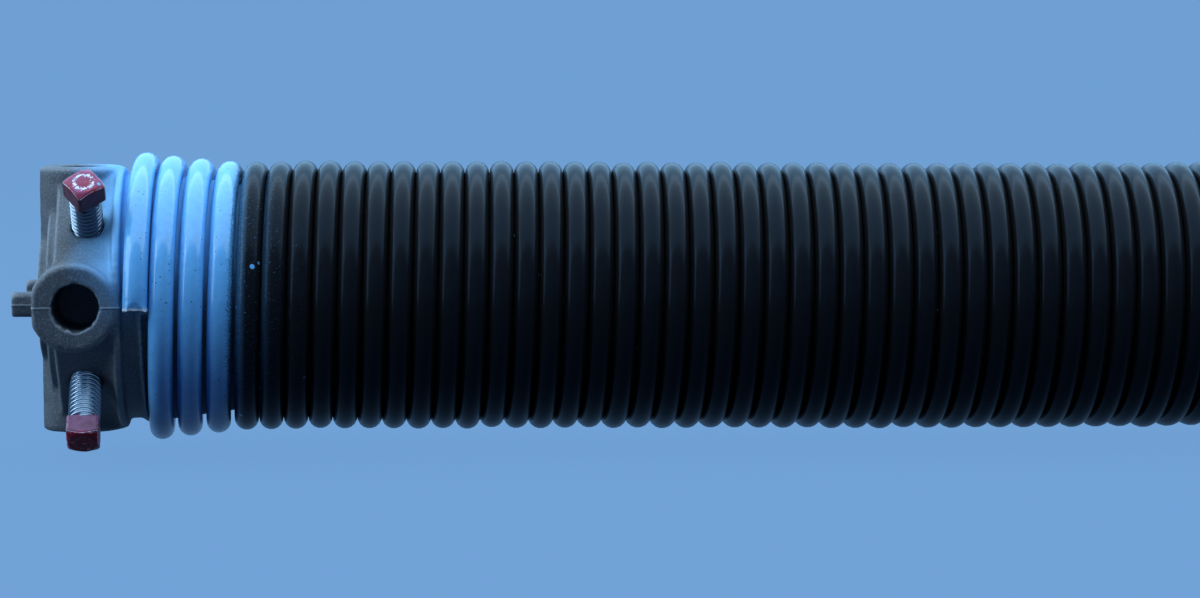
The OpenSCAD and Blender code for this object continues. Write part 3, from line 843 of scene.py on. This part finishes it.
def set_screw(node, name, thread_tree, thread_material, head_turn, scrape, scratches,
              side_wear, blue_speck):
    """A threaded shank and its head, turned onto the axis that the screw travels on. The
    head is turned about it by so many degrees."""
    bodies = frame["record"]["behaviour"]["bodies"]
    body = next(body for body, nodes in bodies.items() if node in nodes)
    joint = next(j for j in frame["joints"] if j["child"] == body)
    out = Vector(joint["axis"]).normalized()
    reach = [vert.co.dot(out) for vert in frame["nodes"][node].data.vertices]
    low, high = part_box(node)
    tilt = math.atan2(-out.y, out.z)
    turn = math.radians(head_turn)
    to_place = (Matrix.Translation(((low.x + high.x) / 2, 0, 0)) @ Matrix.Rotation(tilt, 4, "X")
                @ Matrix.Translation((0, 0, max(reach))) @ Matrix.Rotation(turn, 4, "Z"))
    shank = grown(name + " shank", thread_tree, {
        "Length": max(reach) - min(reach) - HEAD_H + SHANK_IN_HEAD, "Radius": SCREW_R,
        "Pitch": THREAD_PITCH, "Depth": THREAD_DEPTH, "Chamfer": POINT_CHAMFER,
        "Around": THREAD_SIDES, "Rings": THREAD_RINGS, "Material": thread_material})
    shank.data.transform(to_place @ Matrix.Translation((0, 0, min(reach) - max(reach))))
    head = link_object(name, square_head(side_wear))
    head.data.transform(to_place)
    paint = head_paint(name, to_place.translation, to_place.to_euler(),
                       scrape, scratches, blue_speck)
    head.data.materials.append(paint)
    head.data.materials.append(thread_material)
    # The shank joins the head's mesh, with the second material and both its ends closed.
    joined = bmesh.new()
    joined.from_mesh(head.data)
    first = len(joined.faces)
    joined.from_mesh(shank.data)
    joined.faces.ensure_lookup_table()
    for face in joined.faces[first:]:
        face.material_index = 1
    open_rim = [e for e in joined.edges if e.is_boundary]
    bmesh.ops.holes_fill(joined, edges=open_rim, sides=0)
    bmesh.ops.recalc_face_normals(joined, faces=joined.faces)
    joined.to_mesh(head.data)
    joined.free()
    bpy.data.objects.remove(shank)
    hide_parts(node)
    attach(head, body)


# ---------------------------------------------------------------- stage, light, camera

def soft_box(name, width, depth, watts, colour, place, turn):
    """A wide soft lamp that faces down before it is turned, out of the camera's sight."""
    lamp = bpy.data.lights.new(name, "AREA")
    lamp.shape = "RECTANGLE"
    lamp.size = width
    lamp.size_y = depth
    lamp.energy = watts
    lamp.color = colour
    box = link_object(name, lamp)
    box.location = place
    box.rotation_euler = turn
    box.visible_camera = False


def studio():
    """A floor that runs out into a sky of its own colour, under a wide overhead soft box,
    with a bluer one behind and a smaller one at the left."""
    low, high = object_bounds()
    mid_x = (low.x + high.x) / 2
    bm = bmesh.new()
    bmesh.ops.create_circle(bm, cap_ends=True, segments=64, radius=40)
    mesh = bpy.data.meshes.new("studio floor")
    bm.to_mesh(mesh)
    bm.free()
    mesh.transform(Matrix.Translation((mid_x, 0, low.z - 2 * MM)))
    floor = link_object("studio_floor", mesh)
    mesh.materials.append(matt_floor())
    floor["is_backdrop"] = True

    soft_box("overhead soft box", width=3.2, depth=1.3, watts=35, colour=DAYLIGHT,
             place=(mid_x, -0.03, 0.75), turn=(0, 0, 0))
    soft_box("rear soft box", width=3.2, depth=1.2, watts=17, colour=SKYLIGHT,
             place=(mid_x, 1.0, 0.75), turn=(math.radians(-53), 0, 0))
    soft_box("side soft box", width=0.7, depth=0.9, watts=7, colour=DAYLIGHT,
             place=(low.x - 0.9, -0.1, 0.35), turn=(0, -math.pi / 2, 0))

    world = bpy.data.worlds.new("studio")
    bpy.context.scene.world = world
    world.use_nodes = True
    tree = world.node_tree
    # It shows in full, and lights the part only a little.
    strength = add(tree, "ShaderNodeMapRange", [seen_rays(tree), 0, 1, 0.08, 1])
    tree.nodes["Background"].inputs["Color"].default_value = linear(PALE)
    tree.links.new(strength.outputs[0], tree.nodes["Background"].inputs["Strength"])


def camera():
    """Long lens in front and a little above, level to within a quarter of a degree."""
    eye = (0.09969, -1.10810, 0.09305)
    yaw, pitch, roll = (math.radians(a) for a in (3.580, -4.891, -0.210))
    ahead = Vector((math.sin(yaw) * math.cos(pitch), math.cos(yaw) * math.cos(pitch),
                    math.sin(pitch)))
    right = Vector((math.cos(yaw), -math.sin(yaw), 0))
    up = right.cross(ahead)
    across = right * math.cos(roll) + up * math.sin(roll)
    above = up * math.cos(roll) - right * math.sin(roll)
    data = bpy.data.cameras.new("camera")
    data.sensor_width = 36
    data.lens = 109.26
    data.clip_end = 50
    obj = link_object("camera", data)
    turn = Matrix((across, above, -ahead)).transposed()
    obj.matrix_world = Matrix.Translation(eye) @ turn.to_4x4()
    bpy.context.scene.camera = obj


# ---------------------------------------------------------------- assembly

wind_spring()
cast_piece("winding_cone", "winding_cone_casting", "winding_end",
           voxel=0.70 * MM, painted=True, relief=winding_cone_relief)
cast_piece("stationary_cone", "stationary_cone_casting", "fixed_end",
           voxel=0.9 * MM, painted=False, relief=no_relief)
thread = rolled_thread_tree()
zinc = zinc_plate()
set_screw("set_screw_upper", "upper_set_screw", thread, zinc, head_turn=36,
          scrape=0.75, scratches=0.1, side_wear=0.35, blue_speck=0.6 * MM)
set_screw("set_screw_lower", "lower_set_screw", thread, zinc, head_turn=0,
          scrape=0.06, scratches=0.5, side_wear=0.9, blue_speck=0.01 * MM)
studio()
camera()
bpy.context.scene.view_settings.view_transform = "Standard"
